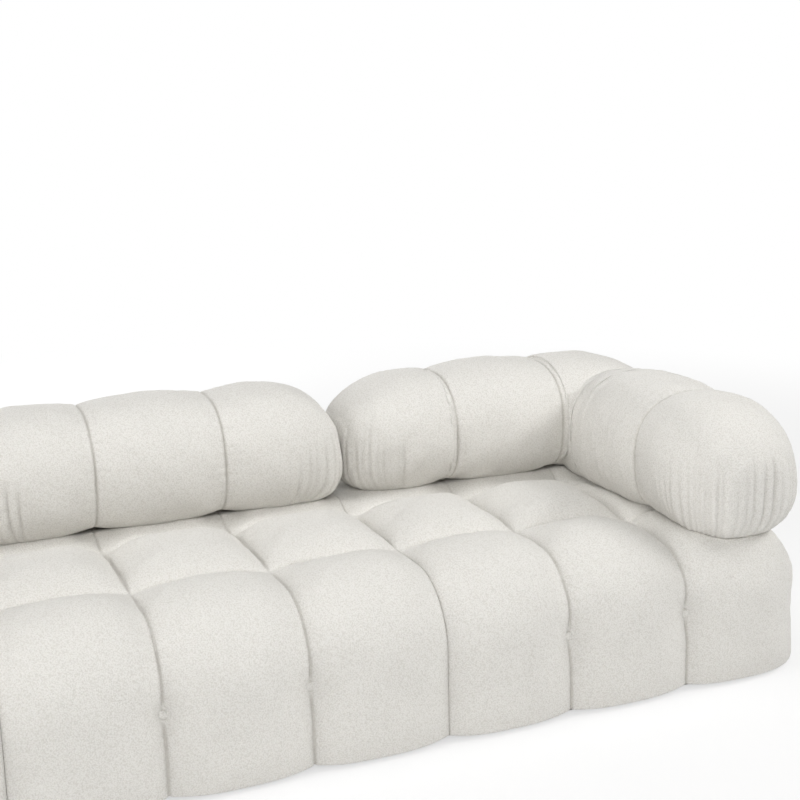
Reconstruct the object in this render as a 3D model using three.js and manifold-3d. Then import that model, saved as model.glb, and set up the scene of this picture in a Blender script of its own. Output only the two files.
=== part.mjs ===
// Three-module tufted sofa: a left corner, an armless centre and a right corner, each the
// same height at its arm as at its back.
// A module is a timber ladder frame on glides, with webbing, a foam slab and one deep tufted
// cushion pulled over it like a cap. Sewn seams cut that cushion into nine blocks. A rolled
// bolster stands on its rear row, on a plywood board whose legs run down through the cushion
// and are bolted to the frame. On a corner the roll turns and becomes the arm.
// Frame: millimetres, +X to the viewer's right, +Y to the back, +Z up, floor at Z = 0,
// origin in the middle of the footprint. Inside a module X starts in its middle and Y on
// its front seam plane.

import * as THREE from "three";
import { mergeVertices } from "three/addons/utils/BufferGeometryUtils.js";
import Module from "manifold-3d";

// Driving dimensions of the tufted base cushions
const blockPitch = 310;          // seam to seam on the centre module
const jointColumnWidth = 303;    // corner module's column beside the centre module
const armColumnWidth = 328;      // corner module's column under the arm
const frontRowDepth = 263;       // front seam plane to the first cross seam
const middleRowDepth = 295;      // first cross seam to the second
const rearRowDepth = 325;        // second cross seam to the rear seam plane
const crossingHeight = 358;      // floor to where two seams cross
const crownRise = 46;            // top of a block above the crossings
const armCrown = 8;              // the same in the arm's column, which the arm presses down
const frontBulge = 25;           // block face in front of the crossing level
const sideBulge = 28;            // block face outside it, on a free side and the back
const shoulderRadius = 150;      // soft edges between the top and the free faces
const armSideRadius = 148;       // the same on the outer side, under the arm
const armFrontRadius = 90;       // the same at the front of the arm's column
const armBlend = 50;             // seam to where the arm's column has its own edge
const hemHeight = 14;            // floor to the hem where a seam ends in it
const hemSag = 7;                // how far a block's hem hangs below that
const hemRadius = 6;             // bottom edge turned under
const hemRise = 70;              // height over which a block fills out above its hem
const tuftWidth = blockPitch;    // full rise and fall of a block beside a free edge

// Driving dimensions of the rolled bolsters
const restRise = 21;             // crossings to the underside of a back roll
const rollHeight = 306;          // back roll at the fullest place of a segment
const armRestRise = -18;         // the same on an arm, which presses deeper
const armRollHeight = 328;       // arm roll at the fullest place of a segment
const rollThickness = 352;       // front to back at that place
const rollPinch = 15;            // how deep a sewn seam draws the roll in
const rollFlat = 5;              // how much of a roll is pressed flat underneath
const gatheredLength = 190;      // rounded, gathered end of the centre's roll
const cornerEndLength = 285;     // the same on a corner's back roll
const noseLength = 216;          // the same on an arm
const cornerLength = 350;        // rounded outer end of a corner's back roll
const armEndLength = 230;        // rounded end of an arm, sewn against the back roll
const armReach = 6;              // how far that end reaches past the back roll's middle
const rollShift = 12;            // how far the centre's roll leans past its joints
const rollSetback = 560;         // front seam plane to the fullest front of the back roll
const armSetback = -23;          // front seam plane to the gathered end of the arm
const armOverhang = 0;           // arm beyond the fullest side of its base

// Driving dimensions of the covered buttons
const buttonDiameter = 20;
const buttonThickness = 9;
const buttonHeight = 188;        // floor to the middle of a button
const buttonSeat = 3;            // how deep the button sits in the cover
const buttonDimple = 13;         // how far its twine draws the cover in
const buttonDimpleRadius = 46;

// Driving dimensions of the timber frame
const wallFoam = 34;             // foam and cover outside the timber on a free side
const jointWallFoam = 18;        // the same where a module meets its neighbour
const frameFoot = 20;            // floor to the underside of the timber
const railHeight = 132;
const railThickness = 22;
const cornerBlockSize = 96;      // glued triangular block in each corner of the frame
const cornerBlockHeight = 40;
const bayCount = 4;              // bays between the cross rails

// Driving dimensions of the plywood board inside a bolster
const boardThickness = 20;
const boardTopCover = 84;        // foam above the board
const boardLift = 24;            // underside of the roll to the board
const boardInset = 96;           // gathered end of the roll to the end of the board
const boardRadius = 45;          // rounded upper corners of the board
const legWidth = 64;
const legInset = 70;             // end of the board to its leg
const legFoot = 12;              // underside of the timber to the end of a leg

// Driving dimensions of the suspension and the dust cloth
const webThickness = 1.6;
const webWidth = 80;             // elastic strap
const webSpacing = 160;          // strap to strap
const slabThickness = 96;        // foam slab on the webbing
const slabClearance = 10;        // slab to the boards' legs
const slabRadius = 24;           // rounded corners of the slab
const dustThickness = 1.5;
const dustInset = 5;             // frame edge to the edge of the dust cloth

// Driving dimensions of the glides and the steel connectors
const glideDiameter = 52;
const glideLip = 3;              // height of the glide's rounded lower edge
const connectorRoom = 12;        // depth of the two pockets that face each other
const connectorWidth = 62;
const connectorHeight = 84;
const connectorPlate = 2.2;
const connectorFoot = 60;        // floor to the lower edge of a connector
const connectorInset = 165;      // front and rear seam planes to the middle of a connector
const socketDepth = 32;          // height of the pocket that takes the tongue
const socketLip = 11;            // lips that hold the tongue
const tongueWidth = 34;
const fitGap = 0.3;              // clearance between pieces that touch
const overrun = 20;              // how far a cut runs past the piece that it cuts

// Shape shares, each a part of the size that it follows
const gridStepShares = [0, 0.12, 0.36, 0.64, 0.88];
const bandHeightShares = [0.86, 0.62, 0.34, 0.12];
const domeStepShares = [0.03, 0.14, 0.4];
const puffPowerShare = 2.5;
const puffRootShare = 1;
const columnSeamShare = 0.04;    // fullness left on a seam that runs front to back
const crossSeamShare = 0.2;      // fullness left on a seam that runs across
const hemShare = 0.8;            // fullness that a block keeps at its hem
const rollLowerShare = 3.1;      // squareness of a back roll's lower half
const armLowerShare = 3.2;       // the same on an arm
const rollUpperShare = 2.3;      // squareness of its upper half
const domeShare = 2.1;           // bluntness of a rounded end at its top
const domeFootShare = 5;         // the same at its foot, which stays full
const buttonProfileShares = [[0, 0], [0.8, 0], [1, 0.35], [0.7, 0.85], [0, 1]];
const glideProfileShares = [0.84, 1, 0.7];

// Step counts
const rollSteps = 16;
const roundSteps = 10;
const cornerSteps = 2;

// Heights that follow from the driving dimensions
const frameTop = frameFoot + railHeight;
const webTop = frameTop + fitGap + webThickness;
const slabFoot = webTop + fitGap;
const slabTop = slabFoot + slabThickness;
const restHeight = crossingHeight + restRise;
const armRestHeight = crossingHeight + armRestRise;
const rollHalf = rollThickness / 2;
const rollCentre = rollSetback + rollHalf;
const depth = frontRowDepth + middleRowDepth + rearRowDepth;
const cornerWidths = [jointColumnWidth, blockPitch, armColumnWidth];
const centreWidths = [blockPitch, blockPitch, blockPitch];

const wasm = await Module();
wasm.setup();

// A closed buffer geometry made a solid for cutting and joining, and back

function toSolid(geometry) {
  const bare = geometry.clone();
  bare.deleteAttribute("normal");
  bare.deleteAttribute("uv");
  const merged = mergeVertices(bare, fitGap / 1000);
  return new wasm.Manifold(new wasm.Mesh({
    numProp: 3,
    vertProperties: new Float32Array(merged.attributes.position.array),
    triVerts: new Uint32Array(merged.index.array),
  }));
}

function toGeometry(solid) {
  const mesh = solid.getMesh();
  const geometry = new THREE.BufferGeometry();
  geometry.setAttribute("position", new THREE.BufferAttribute(mesh.vertProperties, 3));
  geometry.setIndex(new THREE.BufferAttribute(mesh.triVerts, 1));
  geometry.computeVertexNormals();
  return geometry;
}

function fromPoints(points, index) {
  const geometry = new THREE.BufferGeometry();
  const flat = points.flatMap((point) => point.toArray());
  geometry.setAttribute("position", new THREE.Float32BufferAttribute(flat, 3));
  geometry.setIndex(index);
  return geometry;
}

// The same piece for the other hand, its faces turned back outwards
function mirrored(geometry) {
  const turned = geometry.clone().scale(-1, 1, 1);
  const index = turned.index.array;
  for (let i = 0; i < index.length; i += 3) [index[i], index[i + 1]] = [index[i + 1], index[i]];
  turned.computeVertexNormals();
  return turned;
}

function box(low, high) {
  const size = high.map((value, axis) => value - low[axis]);
  const geometry = new THREE.BoxGeometry(...size);
  geometry.translate(...low.map((value, axis) => value + size[axis] / 2));
  return geometry;
}

const boxSolid = (low, high) => toSolid(box(low, high));
const grown = (low, high, by) => [low.map((value) => value - by), high.map((value) => value + by)];

function joined(solids) {
  return solids.reduce((whole, solid) => whole.add(solid));
}

// A flat plate with rounded corners, lying in the XY plane
function plate(low, high, radius, foot, thickness) {
  const shape = new THREE.Shape();
  shape.moveTo(low[0] + radius, low[1]);
  shape.lineTo(high[0] - radius, low[1]);
  shape.absarc(high[0] - radius, low[1] + radius, radius, -Math.PI / 2, 0);
  shape.absarc(high[0] - radius, high[1] - radius, radius, 0, Math.PI / 2);
  shape.absarc(low[0] + radius, high[1] - radius, radius, Math.PI / 2, Math.PI);
  shape.absarc(low[0] + radius, low[1] + radius, radius, Math.PI, 1.5 * Math.PI);
  const settings = { depth: thickness, bevelEnabled: false, curveSegments: cornerSteps };
  return new THREE.ExtrudeGeometry(shape, settings).translate(0, 0, foot);
}

// Closed rings of points between two poles
function closedRings(rings, startPole, endPole) {
  const count = rings[0].length;
  const points = [startPole, ...rings.flat(), endPole];
  const last = points.length - 1;
  const index = [];
  const at = (ring, step) => 1 + ring * count + (step % count);
  for (let step = 0; step < count; step += 1) {
    index.push(0, at(0, step), at(0, step + 1));
    index.push(last, at(rings.length - 1, step + 1), at(rings.length - 1, step));
    for (let ring = 0; ring < rings.length - 1; ring += 1) {
      index.push(at(ring, step), at(ring + 1, step + 1), at(ring, step + 1));
      index.push(at(ring, step), at(ring + 1, step), at(ring + 1, step + 1));
    }
  }
  return fromPoints(points, index);
}

// Tufting: how full the stuffing is, from 0 on a seam to 1 in the middle of a block

const puff = (share) => (1 - Math.min(Math.abs(share), 1) ** puffPowerShare) ** puffRootShare;

// Fullness at one place along a row of seams. Past the first and the last seam the block
// closes again on a joint, or stays full over a free edge.
function fullness(at, seams, low, high, jointLow, jointHigh) {
  const first = seams[0];
  const last = seams[seams.length - 1];
  if (at <= first || at >= last) {
    const joint = at <= first ? jointLow : jointHigh;
    const away = at <= first ? first - at : at - last;
    const reach = at <= first ? first - low : high - last;
    const share = away / ((joint ? reach : tuftWidth) / 2) - 1;
    return !joint && share > 0 ? 1 : puff(share);
  }
  const next = Math.max(1, seams.findIndex((seam) => seam >= at));
  const half = (seams[next] - seams[next - 1]) / 2;
  return puff((at - (seams[next] + seams[next - 1]) / 2) / half);
}

// Places between two ends, with every seam among them
function gridLines(low, seams, high) {
  const stops = [low, ...seams, high];
  const spans = stops.slice(1).map((stop, i) => [stops[i], stop - stops[i]]);
  return [...spans.flatMap(([from, span]) => gridStepShares.map((share) => from + share * span)), high];
}

// A rounded end of a roll shrinks its section. It stays blunt at the foot, where the roll
// lies on the seat, and falls away sooner at the top.
function taper(distance, length, height) {
  const away = THREE.MathUtils.clamp(1 - distance / length, 0, 1);
  const blunt = THREE.MathUtils.lerp(domeFootShare, domeShare, (1 + height) / 2);
  return (1 - away ** blunt) ** (1 / blunt);
}

// Section of a roll: squarer below than above, from -1 to 1 each way
function rollSection(step, lower) {
  const angle = (2 * Math.PI * (step + 0.5)) / rollSteps;
  const power = 2 / (Math.sin(angle) < 0 ? lower : rollUpperShare);
  return [Math.cos(angle), Math.sin(angle)].map((value) => Math.sign(value) * Math.abs(value) ** power);
}

// Places a point by its distance along a roll, its distance aside and its height
function onRoll({ along, centre }, at, side, level) {
  if (along === "x") return new THREE.Vector3(at, centre - side, level);
  return new THREE.Vector3(centre + side, at, level);
}

// A rolled bolster leg. Its sections stand along a straight line between two rounded ends.
// Every sewn seam draws it in all round, and underneath it is pressed flat.
function rollLeg(roll) {
  const { start, end, rest, height, seams, startDome, endDome } = roll;
  const half = (height + rollFlat) / 2;
  const middle = rest + height - half;
  const places = [
    ...gridLines(start, seams, end),
    ...domeStepShares.map((share) => start + share * startDome),
    ...domeStepShares.map((share) => end - share * endDome),
  ];
  const inside = [...new Set(places)].filter((at) => at > start && at < end).sort((a, b) => a - b);
  const rings = inside.map((at) => {
    const drawIn = rollPinch * (1 - fullness(at, seams, start, end, false, false));
    return Array.from({ length: rollSteps }, (_, step) => {
      const [across, up] = rollSection(step, roll.lower);
      const shrink = Math.min(taper(at - start, startDome, up), taper(end - at, endDome, up));
      const side = across * (rollHalf - drawIn) * shrink;
      return onRoll(roll, at, side, middle + up * (half - drawIn) * shrink);
    });
  });
  const solid = toSolid(closedRings(rings, onRoll(roll, start, 0, middle), onRoll(roll, end, 0, middle)));
  return solid.subtract(rollBar(roll, [start - overrun, end + overrun], rest - height, rest));
}

// A plain bar as wide as a roll, from one height to another
function rollBar(roll, [from, to], low, high) {
  const reach = rollHalf + overrun;
  const ends = [onRoll(roll, from, -reach, low), onRoll(roll, to, reach, high)];
  const bounds = new THREE.Box3().setFromPoints(ends);
  return boxSolid(bounds.min.toArray(), bounds.max.toArray());
}

// The bed that a roll presses into what carries it: its fullest section, with a clearance
function rollBed(roll) {
  const half = (roll.height + rollFlat) / 2;
  const middle = roll.rest + roll.height - half;
  const rings = [roll.start - fitGap, roll.end + fitGap].map((at) => (
    Array.from({ length: rollSteps }, (_, step) => {
      const [across, up] = rollSection(step, roll.lower);
      return onRoll(roll, at, across * (rollHalf + fitGap), middle + up * (half + fitGap));
    })));
  const poles = [roll.start - fitGap, roll.end + fitGap].map((at) => onRoll(roll, at, 0, middle));
  const bar = toSolid(closedRings(rings, ...poles));
  const ends = [roll.start - overrun, roll.end + overrun];
  return bar.subtract(rollBar(roll, ends, roll.rest - roll.height, roll.rest - fitGap));
}

// A board that stiffens a roll: rounded upper corners, and two legs that run down to the frame
function boardPanel(length, legs, foot, shoulder, top) {
  const shape = new THREE.Shape();
  shape.moveTo(0, shoulder);
  for (const leg of legs) {
    shape.lineTo(leg, shoulder);
    shape.lineTo(leg, foot);
    shape.lineTo(leg + legWidth, foot);
    shape.lineTo(leg + legWidth, shoulder);
  }
  shape.lineTo(length, shoulder);
  shape.lineTo(length, top - boardRadius);
  shape.absarc(length - boardRadius, top - boardRadius, boardRadius, 0, Math.PI / 2);
  shape.lineTo(boardRadius, top);
  shape.absarc(boardRadius, top - boardRadius, boardRadius, Math.PI / 2, Math.PI);
  const settings = { depth: boardThickness, bevelEnabled: false, curveSegments: cornerSteps };
  const panel = new THREE.ExtrudeGeometry(shape, settings);
  return panel.rotateX(Math.PI / 2).translate(0, boardThickness / 2, 0);
}

// One module in its own frame. Its right side is free under an arm where it has one.
class SofaModule {
  constructor(widths, hasArm) {
    this.hasArm = hasArm;
    this.width = widths.reduce((sum, width) => sum + width);
    this.left = -this.width / 2;
    this.right = this.width / 2;
    this.columnSeams = [this.left + widths[0], this.left + widths[0] + widths[1]];
    this.crossSeams = [frontRowDepth, frontRowDepth + middleRowDepth];

    // timber outline, inside the foam
    this.frameLow = [this.left + jointWallFoam, wallFoam];
    this.frameHigh = [this.right - (hasArm ? wallFoam : jointWallFoam), depth - wallFoam];

    // rolls of the back and the arm
    this.armCentre = this.right + sideBulge + armOverhang - rollHalf;
    this.backRoll = {
      along: "x", centre: rollCentre, start: this.left + (hasArm ? rollShift : -rollShift),
      end: hasArm ? this.armCentre + rollHalf : this.right + rollShift,
      rest: restHeight, height: rollHeight, seams: this.columnSeams, lower: rollLowerShare,
      startDome: hasArm ? cornerEndLength : gatheredLength, endDome: hasArm ? cornerLength : gatheredLength,
    };
    this.armRoll = {
      along: "y", centre: this.armCentre, start: armSetback, end: rollCentre + armReach,
      rest: armRestHeight, height: armRollHeight, seams: this.crossSeams, lower: armLowerShare,
      startDome: noseLength, endDome: armEndLength,
    };
    this.placeBoards();
  }

  // Boards stand in the middle of their rolls; each leg is kept as a box from low to high
  placeBoards() {
    const half = boardThickness / 2;
    const foot = frameFoot + legFoot;
    const backLow = this.backRoll.start + boardInset;
    const backHigh = this.hasArm ? this.armCentre + half : this.backRoll.end - boardInset;
    const lastLeg = (this.hasArm ? this.armCentre - half : backHigh) - legInset - legWidth;
    this.boards = [{
      along: "x", low: backLow, high: backHigh, centre: rollCentre,
      legs: [backLow + legInset, lastLeg], foot,
      shoulder: restHeight + boardLift, top: restHeight + rollHeight - boardTopCover,
    }];
    if (this.hasArm) {
      const armLow = this.armRoll.start + boardInset;
      this.boards.push({
        along: "y", low: armLow, high: rollCentre, centre: this.armCentre,
        legs: [armLow + legInset, rollCentre - half - legInset - 2 * legWidth], foot,
        shoulder: armRestHeight + boardLift, top: armRestHeight + armRollHeight - boardTopCover,
      });
    }
  }

  // The boxes that a board and its legs fill
  boardBoxes(board, legTop) {
    const half = boardThickness / 2;
    const spread = (from, to, low, high) => (board.along === "x"
      ? [[from, board.centre - half, low], [to, board.centre + half, high]]
      : [[board.centre - half, from, low], [board.centre + half, to, high]]);
    return {
      panel: spread(board.low, board.high, board.shoulder, board.top),
      legs: board.legs.map((leg) => spread(leg, leg + legWidth, board.foot, legTop ?? board.shoulder)),
    };
  }

  legCuts() {
    return this.boards.flatMap((board) => this.boardBoxes(board, board.shoulder + overrun).legs)
      .map(([low, high]) => boxSolid(...grown(low, high, fitGap)));
  }

  // Places of the covered buttons, with the way that each one faces
  buttonPlaces() {
    const places = [];
    this.columnSeams.forEach((x, i) => {
      places.push({ name: `front_button_${i + 1}`, x, y: 0, facing: [0, -1] });
      places.push({ name: `back_button_${i + 1}`, x, y: depth, facing: [0, 1] });
    });
    if (this.hasArm) {
      this.crossSeams.forEach((y, i) => {
        places.push({ name: `side_button_${i + 1}`, x: this.right, y, facing: [1, 0] });
      });
    }
    return places;
  }

  // Where the back of a button stands, in from the seam plane
  buttonDepth(facing) {
    const bulge = facing[1] < 0 ? frontBulge : sideBulge;
    const share = facing[0] ? crossSeamShare : columnSeamShare;
    return buttonDimple + buttonSeat - bulge * share;
  }

  // How far a place belongs to the arm's column: 0 up to its seam, 1 past the blend
  inArmColumn(x) {
    const [, seam] = this.columnSeams;
    return this.hasArm ? THREE.MathUtils.smoothstep(x, seam, seam + armBlend) : 0;
  }

  // A place on the plain box, carried to its rounded form, with the outward normal. A side
  // that meets a neighbour is a plain cut and isn't rounded.
  rounded(x, y, z) {
    const front = THREE.MathUtils.lerp(shoulderRadius, armFrontRadius, this.inArmColumn(x));
    const radii = new THREE.Vector3(armSideRadius, y < depth / 2 ? front : shoulderRadius, shoulderRadius);
    const core = new THREE.Vector3(
      this.hasArm ? Math.min(x, this.right - armSideRadius) : x,
      THREE.MathUtils.clamp(y, front, depth - shoulderRadius),
      Math.min(z, crossingHeight - shoulderRadius),
    );
    const way = new THREE.Vector3(x, y, z).sub(core).divide(radii).normalize();
    return { place: core.add(way.clone().multiply(radii)), normal: way.divide(radii).normalize() };
  }

  // The cushion's skin: the rounded box, its blocks filled out between the seams
  skin(x, y, z) {
    const { place, normal } = this.rounded(x, y, z);
    const column = fullness(x, this.columnSeams, this.left, this.right, true, !this.hasArm);
    const row = fullness(y, this.crossSeams, 0, depth, false, false);
    const fill = columnSeamShare * row * (1 - column) + crossSeamShare * column * (1 - row) + row * column;
    const crown = THREE.MathUtils.lerp(crownRise, armCrown, this.inArmColumn(x));
    const bulge = normal.z ** 2 * crown + normal.x ** 2 * sideBulge
      + normal.y ** 2 * (normal.y < 0 ? frontBulge : sideBulge);
    const lift = THREE.MathUtils.clamp((z - hemHeight) / hemRise, 0, 1);
    const hemFill = hemShare + (1 - hemShare) * Math.sqrt(1 - (1 - lift) ** 2);
    const turn = THREE.MathUtils.clamp((hemHeight + hemRadius - z) / hemRadius, 0, 1);
    const tucked = hemRadius * (1 - Math.sqrt(1 - turn ** 2));
    place.addScaledVector(normal, fill * bulge * hemFill - tucked - this.dimple(place, normal));
    place.z -= hemSag * fill * (1 - lift);
    return place;
  }

  dimple(place, normal) {
    const facing = Math.max(Math.abs(normal.x), Math.abs(normal.y));
    return this.buttonPlaces().reduce((pull, button) => {
      const distance = Math.hypot(place.x - button.x, place.y - button.y, place.z - buttonHeight);
      return pull + buttonDimple * facing * Math.exp(-((distance / buttonDimpleRadius) ** 2));
    }, 0);
  }

  // Top grid, rings down the free sides, a plain cut on each joint and an underside
  cushionBlock() {
    const xs = gridLines(this.left, this.columnSeams, this.right);
    const ys = gridLines(0, this.crossSeams, depth);
    const [lastX, lastY] = [xs.length - 1, ys.length - 1];
    const points = [];
    const index = [];
    const add = (x, y, z) => points.push(this.skin(x, y, z)) - 1;
    const quad = (a, b, c, d) => index.push(a, b, c, a, c, d);
    const top = ys.map((y) => xs.map((x) => add(x, y, crossingHeight)));
    for (let j = 0; j < lastY; j += 1) {
      for (let i = 0; i < lastX; i += 1) quad(top[j][i], top[j][i + 1], top[j + 1][i + 1], top[j + 1][i]);
    }

    // sides, each column of points kept from the top down
    const bands = bandHeightShares.map((share) => hemHeight + share * (crossingHeight - hemHeight));
    const heights = [...bands, hemHeight + hemRadius / 2, hemHeight];
    const down = ([i, j]) => [top[j][i], ...heights.map((z) => add(xs[i], ys[j], z))];
    const front = xs.map((_, i) => down([i, 0]));
    const back = xs.map((_, i) => down([lastX - i, lastY]));
    const side = this.hasArm ? ys.slice(1, -1).map((_, j) => down([lastX, j + 1])) : [];
    const strips = this.hasArm ? [[...front, ...side, ...back]] : [front, back];
    for (const strip of strips) {
      for (let k = 0; k < strip.length - 1; k += 1) {
        for (let r = 0; r < heights.length; r += 1) {
          quad(strip[k][r], strip[k][r + 1], strip[k + 1][r + 1], strip[k + 1][r]);
        }
      }
    }

    // joint sides: the outline of the section, closed flat
    const cut = (i, frontColumn, backColumn) => {
      const upper = top.map((line) => line[i]);
      const outline = [...frontColumn.slice(1).reverse(), ...upper, ...backColumn.slice(1)];
      const flat = outline.map((at) => new THREE.Vector2(points[at].y, points[at].z));
      for (const [a, b, c] of THREE.ShapeUtils.triangulateShape(flat, [])) {
        if (i === 0) index.push(outline[a], outline[c], outline[b]);
        else index.push(outline[a], outline[b], outline[c]);
      }
    };
    cut(0, front[0], back[lastX]);
    if (!this.hasArm) cut(lastX, front[lastX], back[0]);

    const hem = strips.flat().map((column) => column[heights.length]);
    const hub = points.push(new THREE.Vector3(0, depth / 2, hemHeight)) - 1;
    hem.forEach((at, k) => index.push(at, hub, hem[(k + 1) % hem.length]));
    return toSolid(fromPoints(points, index));
  }

  // Foam slab outline: in front of the back board and inside the arm board
  slabPlan() {
    const back = rollCentre - boardThickness / 2 - slabClearance;
    const right = this.hasArm ? this.armCentre - boardThickness / 2 - slabClearance : this.frameHigh[0];
    return [this.frameLow, [right, back]];
  }

  // The tufted cushion, cut for what stands inside and on it
  baseCushion() {
    const [slabLow, slabHigh] = this.slabPlan();
    let cushion = this.cushionBlock()
      .subtract(boxSolid(
        [this.frameLow[0] - fitGap, this.frameLow[1] - fitGap, -overrun],
        [this.frameHigh[0] + fitGap, this.frameHigh[1] + fitGap, slabFoot],
      ))
      .subtract(boxSolid(
        [slabLow[0] - fitGap, slabLow[1] - fitGap, slabFoot - fitGap],
        [slabHigh[0] + fitGap, slabHigh[1] + fitGap, slabTop + fitGap],
      ))
      .subtract(rollBed(this.backRoll));
    if (this.hasArm) cushion = cushion.subtract(rollBed(this.armRoll));
    for (const cut of this.legCuts()) cushion = cushion.subtract(cut);
    for (const button of this.buttonPlaces()) cushion = cushion.subtract(this.buttonPocket(button));
    for (const pocket of this.connectorPockets()) cushion = cushion.subtract(pocket);
    return cushion;
  }

  buttonPocket({ x, y, facing }) {
    const long = buttonThickness + frontBulge + sideBulge;
    const radius = buttonDiameter / 2 + fitGap;
    const inward = this.buttonDepth(facing) + fitGap;
    const pocket = new THREE.CylinderGeometry(radius, radius, long, roundSteps);
    pocket.translate(0, long / 2 - inward, 0);
    return toSolid(turnOutward(pocket, facing).translate(x, y, buttonHeight));
  }

  // Flat places for the connectors on the sides that meet a neighbour
  connectorPockets() {
    const sides = this.hasArm ? [this.left] : [this.left, this.right];
    return sides.flatMap((x) => connectorRows().map((y) => boxSolid(
      [x - connectorRoom / 2, y - connectorWidth / 2 - fitGap, connectorFoot - fitGap],
      [x + connectorRoom / 2, y + connectorWidth / 2 + fitGap, connectorFoot + connectorHeight + fitGap],
    )));
  }

  bolster() {
    let roll = rollLeg(this.backRoll);
    if (this.hasArm) roll = roll.add(rollLeg(this.armRoll));
    for (const board of this.boards) {
      const { panel, legs } = this.boardBoxes(board);
      panel[0][2] -= boardLift + overrun;
      roll = roll.subtract(boxSolid(...grown(...panel, fitGap)));
      for (const [low, high] of legs) roll = roll.subtract(boxSolid(...grown(low, high, fitGap)));
    }
    return roll;
  }

  bolsterBoards() {
    return joined(this.boards.map((board) => {
      const legs = board.legs.map((leg) => leg - board.low);
      const panel = boardPanel(board.high - board.low, legs, board.foot, board.shoulder, board.top);
      if (board.along === "x") return toSolid(panel.translate(board.low, board.centre, 0));
      return toSolid(panel.rotateZ(Math.PI / 2).translate(board.centre, board.low, 0));
    }));
  }

  // Ladder frame: four outer rails, rails that carry the boards' legs, cross rails between
  // them and a glued block in each corner
  baseFrame() {
    const [low, high] = [this.frameLow, this.frameHigh];
    const rail = (x0, y0, x1, y1) => boxSolid([x0, y0, frameFoot], [x1, y1, frameTop]);
    const legRailFront = rollCentre + boardThickness / 2 + fitGap;
    const rails = [
      rail(low[0], low[1], high[0], low[1] + railThickness),
      rail(low[0], high[1] - railThickness, high[0], high[1]),
      rail(low[0], low[1], low[0] + railThickness, high[1]),
      rail(high[0] - railThickness, low[1], high[0], high[1]),
      rail(low[0], legRailFront, high[0], legRailFront + railThickness),
    ];
    let span = high[0] - railThickness - low[0];
    if (this.hasArm) {
      const armRail = this.armCentre + boardThickness / 2 + fitGap;
      rails.push(rail(armRail, low[1], armRail + railThickness, legRailFront));
      span = armRail - low[0];
    }
    for (let i = 1; i < bayCount; i += 1) {
      const x = low[0] + (i * span) / bayCount;
      rails.push(rail(x, low[1], x + railThickness, high[1]));
    }
    for (const [x, y, toX, toY] of [
      [low[0], low[1], 1, 1], [high[0], low[1], -1, 1],
      [high[0], high[1], -1, -1], [low[0], high[1], 1, -1],
    ]) rails.push(cornerBlock(x, y, toX, toY));
    return this.legCuts().reduce((frame, cut) => frame.subtract(cut), joined(rails));
  }

  // Straps woven both ways and stapled to the rails
  webbing() {
    const armRail = this.armCentre + boardThickness / 2 + fitGap + railThickness;
    const legRail = rollCentre + boardThickness / 2 + fitGap + railThickness;
    const low = this.frameLow;
    const high = [this.hasArm ? armRail : this.frameHigh[0], legRail];
    const z = frameTop + fitGap;
    const strap = (x0, y0, x1, y1) => boxSolid([x0, y0, z], [x1, y1, z + webThickness]);
    const lines = (from, to) => {
      const count = Math.round((to - from - webWidth) / webSpacing);
      return Array.from({ length: count + 1 }, (_, i) => from + (i * (to - from - webWidth)) / count);
    };
    const straps = [
      ...lines(low[0], high[0]).map((x) => strap(x, low[1], x + webWidth, high[1])),
      ...lines(low[1], high[1]).map((y) => strap(low[0], y, high[0], y + webWidth)),
    ];
    return this.legCuts().reduce((lattice, cut) => lattice.subtract(cut), joined(straps));
  }

  seatSlab() {
    const [low, high] = this.slabPlan();
    return toSolid(plate(low, high, slabRadius, slabFoot, slabThickness));
  }

  dustCloth() {
    const low = this.frameLow.map((value) => value + dustInset);
    const high = this.frameHigh.map((value) => value - dustInset);
    const foot = frameFoot - fitGap - dustThickness;
    return toSolid(plate(low, high, slabRadius, foot, dustThickness));
  }

  glidePlaces() {
    const inset = cornerBlockSize / 2 - glideDiameter / 8;
    return [
      ["glide_front_left", this.frameLow[0] + inset, this.frameLow[1] + inset],
      ["glide_front_right", this.frameHigh[0] - inset, this.frameLow[1] + inset],
      ["glide_back_left", this.frameLow[0] + inset, this.frameHigh[1] - inset],
      ["glide_back_right", this.frameHigh[0] - inset, this.frameHigh[1] - inset],
    ];
  }
}

// A triangular block in a corner of the frame, its legs along the two rails
function cornerBlock(x, y, toX, toY) {
  const corners = [[0, 0], [toX * cornerBlockSize, 0], [0, toY * cornerBlockSize]];
  if (toX * toY < 0) corners.reverse();
  const shape = new THREE.Shape(corners.map(([dx, dy]) => new THREE.Vector2(x + dx, y + dy)));
  const block = new THREE.ExtrudeGeometry(shape, { depth: cornerBlockHeight, bevelEnabled: false });
  return toSolid(block.translate(0, 0, frameFoot));
}

// A piece made along +Y, turned to face outwards with its axis level
function turnOutward(geometry, facing) {
  return geometry.rotateZ(Math.atan2(-facing[0], facing[1]));
}

function connectorRows() {
  return [connectorInset, depth - connectorInset];
}

// Covered button: a shallow dome with a turned-in back, along +Y
function coveredButton() {
  const profile = buttonProfileShares.map(([across, up]) => (
    new THREE.Vector2(across * (buttonDiameter / 2), up * buttonThickness)));
  return new THREE.LatheGeometry(profile, roundSteps);
}

// Plastic glide under a corner of the frame, along +Z, its flat foot on the floor
function glide() {
  const top = frameFoot - fitGap - dustThickness - fitGap;
  const radius = glideDiameter / 2;
  const [foot, edge, neck] = glideProfileShares.map((share) => share * radius);
  const profile = [[0, 0], [foot, 0], [edge, glideLip], [edge, top / 2], [neck, top], [0, top]];
  const turned = new THREE.LatheGeometry(profile.map(([r, z]) => new THREE.Vector2(r, z)), roundSteps);
  return turned.rotateX(Math.PI / 2);
}

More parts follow.
